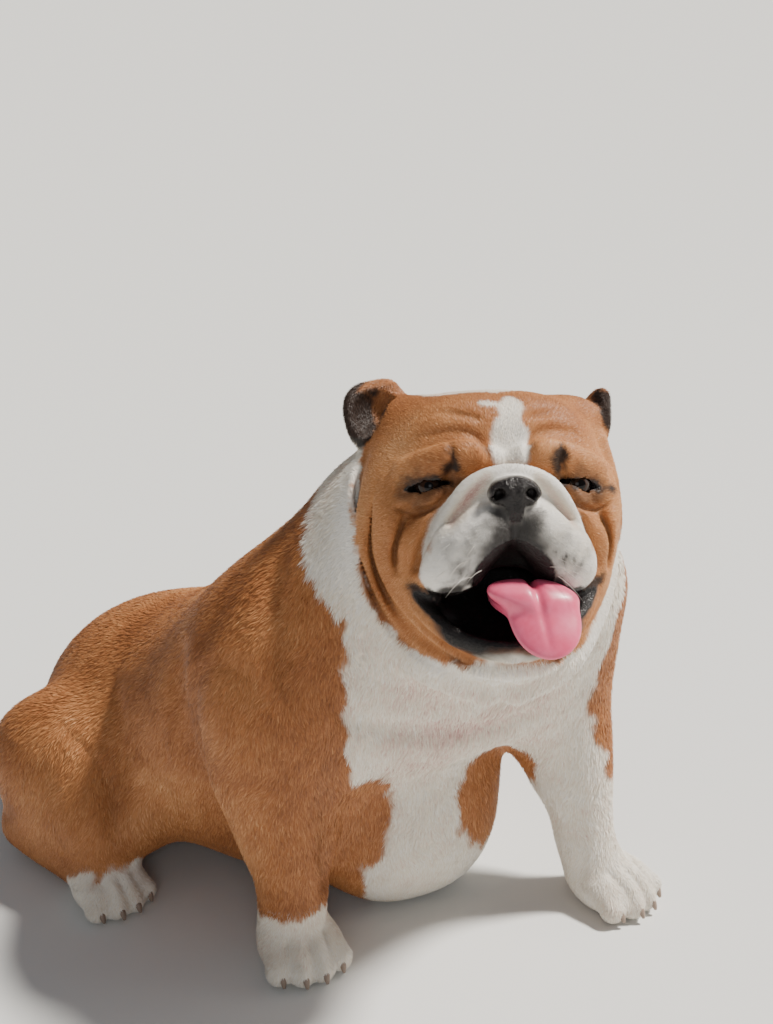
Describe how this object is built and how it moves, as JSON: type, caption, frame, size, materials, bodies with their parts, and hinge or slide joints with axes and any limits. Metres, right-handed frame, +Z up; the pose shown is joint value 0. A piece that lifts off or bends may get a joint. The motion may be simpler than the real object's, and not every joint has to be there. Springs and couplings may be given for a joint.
{
  "type": "sitting english bulldog",
  "caption": "Life-size english bulldog, sitting, head turned to one side, mouth open and tongue out; a still museum-style model.",
  "frame": {"origin": "on the floor, under the middle of the bounding box", "axes": "+Z up, the hips face -Y, the dog's left is +X"},
  "size_m": [0.3892, 0.6416, 0.4931],
  "materials": {
    "coat_brown": "short red-fawn fur",
    "coat_white": "short white fur",
    "coat_dark": "thin dark fur",
    "nose_skin": "moist black skin",
    "tongue_skin": "wet pink skin",
    "eye_glass": "wet dark eye"
  },
  "bodies": {
    "root": {"abdomen": "coat_brown", "chest": "coat_brown", "neck": "coat_brown", "head": "coat_brown", "rump": "coat_brown", "tail": "coat_brown", "lower_jaw": "coat_white", "nose": "nose_skin", "tongue": "tongue_skin", "ear_left": "coat_dark", "ear_right": "coat_dark", "eye_left": "eye_glass", "eye_right": "eye_glass", "upper_arm_left": "coat_brown", "upper_arm_right": "coat_brown", "foreleg_left": "coat_white", "foreleg_right": "coat_brown", "forepaw_left": "coat_white", "forepaw_right": "coat_white", "thigh_left": "coat_brown", "thigh_right": "coat_brown", "hindpaw_left": "coat_white", "hindpaw_right": "coat_white"}
  },
  "joints": []
}
